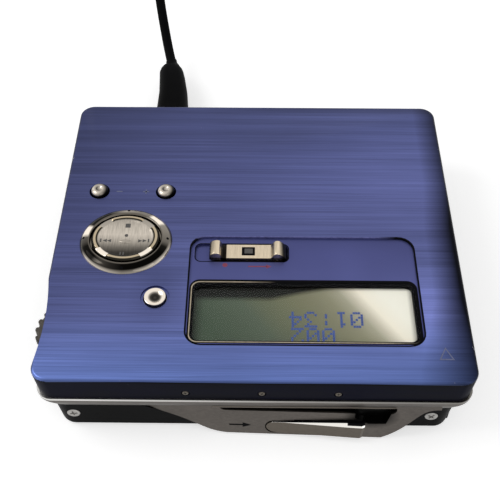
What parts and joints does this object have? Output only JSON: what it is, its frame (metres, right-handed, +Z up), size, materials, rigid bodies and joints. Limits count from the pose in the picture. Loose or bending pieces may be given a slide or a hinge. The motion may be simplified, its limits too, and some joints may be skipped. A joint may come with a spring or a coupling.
{
  "type": "portable minidisc player",
  "caption": "Closed pocket minidisc recorder with a brushed blue lid, control keys, display, record switch and a plugged-in headphone lead.",
  "frame": {"origin": "on the resting surface, below the centre of the lid", "axes": "+X along the width to the battery door side, +Y back to the hinge and the sockets, +Z up through the lid"},
  "size_m": [0.0845, 0.2069, 0.0256],
  "materials": {
    "lid_blue": "brushed blue anodised",
    "bezel_violet": "satin",
    "window_glass": "polished clear",
    "display": "reflective grey-green",
    "silver": "satin",
    "polished": "polished",
    "satin_steel": "brushed",
    "champagne": "satin",
    "black_metal": "satin",
    "black_plastic": "matt",
    "grey_plastic": "matt",
    "rubber": "matt",
    "board": "solder resist",
    "brass": "machined",
    "battery_wrap": "glossy sleeve",
    "lens": "coated"
  },
  "bodies": {
    "chassis": {"chassis_frame": "silver", "bottom_cover": "black_metal", "cover_screws": "black_metal", "foot_pads": "rubber", "hinge_pins": "satin_steel", "door_hinge_pin": "satin_steel", "battery": "battery_wrap", "battery_contacts": "satin_steel", "drive_deck": "satin_steel", "spindle_motor": "satin_steel", "guide_rods": "satin_steel", "sled_motor": "satin_steel", "main_board": "board", "board_chips": "black_plastic", "headphone_jack": "black_plastic", "line_in_jack": "black_plastic", "power_jack": "black_plastic", "plug_shell": "black_plastic", "plug_pin": "polished", "cord_lead": "rubber", "cord_coil": "rubber", "cord_tie": "black_plastic", "cord_tail": "rubber", "far_plug": "black_plastic", "far_plug_pin": "polished"},
    "lid": {"lid_panel": "lid_blue", "lid_frame": "black_plastic", "skirt_screws": "polished", "display_bezel": "bezel_violet", "lcd_window": "window_glass", "lcd_panel": "display", "key_board": "board", "nav_ring": "polished", "jog_pin": "satin_steel"},
    "disc_holder_body": {"disc_holder": "satin_steel", "holder_sides": "satin_steel", "holder_bridges": "satin_steel", "holder_wall": "satin_steel", "disc_springs": "satin_steel", "head_rails": "satin_steel"},
    "recording_head": {"head_carriage": "grey_plastic"},
    "head_lever": {"head_arm": "satin_steel"},
    "record_switch": {"rec_knob": "champagne", "rec_slider": "black_plastic"},
    "vol_minus": {"vol_minus_button": "polished"},
    "vol_plus": {"vol_plus_button": "polished"},
    "group_key": {"group_button": "polished"},
    "pad_stem": {"nav_stem": "satin_steel"},
    "pad_gimbal": {"nav_gimbal": "satin_steel"},
    "pad": {"nav_pad": "satin_steel"},
    "jog": {"jog_dial": "silver"},
    "open_latch": {"open_knob": "silver", "latch_slide": "satin_steel"},
    "battery_lid": {"battery_door": "black_metal"},
    "turntable_body": {"turntable": "satin_steel"},
    "sled": {"pickup_sled": "grey_plastic", "pickup_lens": "lens"},
    "screw": {"lead_screw": "satin_steel", "screw_gear": "grey_plastic"},
    "pinion": {"motor_pinion": "brass"}
  },
  "joints": [
    {"name": "lid_hinge", "type": "hinge", "parent": "chassis", "child": "lid", "pos_m": [0, 0.0334, 0.0104], "axis": [-1, 0, 0], "range_deg": [0, 36]},
    {"name": "holder_hinge", "type": "hinge", "parent": "chassis", "child": "disc_holder_body", "pos_m": [0, 0.0334, 0.0104], "axis": [-1, 0, 0], "range_deg": [0, 26.5]},
    {"name": "head_slide", "type": "slide", "parent": "disc_holder_body", "child": "recording_head", "axis": [1, 0, 0], "range_m": [0, 0.0135]},
    {"name": "head_lower", "type": "hinge", "parent": "recording_head", "child": "head_lever", "pos_m": [0.0124, 0, 0.0135], "axis": [0, 1, 0], "range_deg": [0, 8], "stiffness_Nm_per_rad": 0.0005},
    {"name": "open_slide", "type": "slide", "parent": "chassis", "child": "open_latch", "axis": [0.9998, -0.0209, 0], "range_m": [0, 0.003], "stiffness_N_per_m": 150},
    {"name": "record_slide", "type": "slide", "parent": "lid", "child": "record_switch", "axis": [-1, 0, 0], "range_m": [0, 0.0027], "stiffness_N_per_m": 120},
    {"name": "pad_press", "type": "slide", "parent": "lid", "child": "pad_stem", "axis": [0, 0, -1], "range_m": [0, 0.0003], "stiffness_N_per_m": 400},
    {"name": "pad_tilt_x", "type": "hinge", "parent": "pad_stem", "child": "pad_gimbal", "pos_m": [-0.0255, -0.0041, 0.0159], "axis": [1, 0, 0], "range_deg": [-2, 2], "stiffness_Nm_per_rad": 0.004},
    {"name": "pad_tilt_y", "type": "hinge", "parent": "pad_gimbal", "child": "pad", "pos_m": [-0.0255, -0.0041, 0.0159], "axis": [0, 1, 0], "range_deg": [-2, 2], "stiffness_Nm_per_rad": 0.004},
    {"name": "vol_minus_press", "type": "slide", "parent": "lid", "child": "vol_minus", "axis": [0, 0, -1], "range_m": [0, 0.0004], "stiffness_N_per_m": 120},
    {"name": "vol_plus_press", "type": "slide", "parent": "lid", "child": "vol_plus", "axis": [0, 0, -1], "range_m": [0, 0.0004], "stiffness_N_per_m": 120},
    {"name": "group_press", "type": "slide", "parent": "lid", "child": "group_key", "axis": [0, 0, -1], "range_m": [0, 0.0004], "stiffness_N_per_m": 120},
    {"name": "jog_spin", "type": "hinge", "parent": "lid", "child": "jog", "pos_m": [-0.0339, -0.0245, 0.01515], "axis": [0, 0, 1], "continuous": true},
    {"name": "battery_door_hinge", "type": "hinge", "parent": "chassis", "child": "battery_lid", "pos_m": [0.03565, -0.0152, 0.004], "axis": [0, 0, 1], "range_deg": [0, 95]},
    {"name": "spindle_spin", "type": "hinge", "parent": "chassis", "child": "turntable_body", "pos_m": [0, 0, 0.0055], "axis": [0, 0, 1], "continuous": true},
    {"name": "sled_slide", "type": "slide", "parent": "chassis", "child": "sled", "axis": [1, 0, 0], "range_m": [0, 0.0135]},
    {"name": "screw_spin", "type": "hinge", "parent": "chassis", "child": "screw", "pos_m": [0.0085, 0.0135, 0.0037], "axis": [1, 0, 0], "range_deg": [0, 1700]},
    {"name": "pinion_spin", "type": "hinge", "parent": "chassis", "child": "pinion", "pos_m": [0.0085, 0.0171, 0.0037], "axis": [1, 0, 0], "range_deg": [-2400, 0]}
  ],
  "couplings": [
    {"joint": "holder_hinge", "follows": "lid_hinge", "ratio": 0.72},
    {"joint": "head_slide", "follows": "sled_slide", "ratio": 1},
    {"joint": "screw_spin", "follows": "sled_slide", "rad_per_m": 2094.4},
    {"joint": "pinion_spin", "follows": "sled_slide", "rad_per_m": -2932.2}
  ]
}
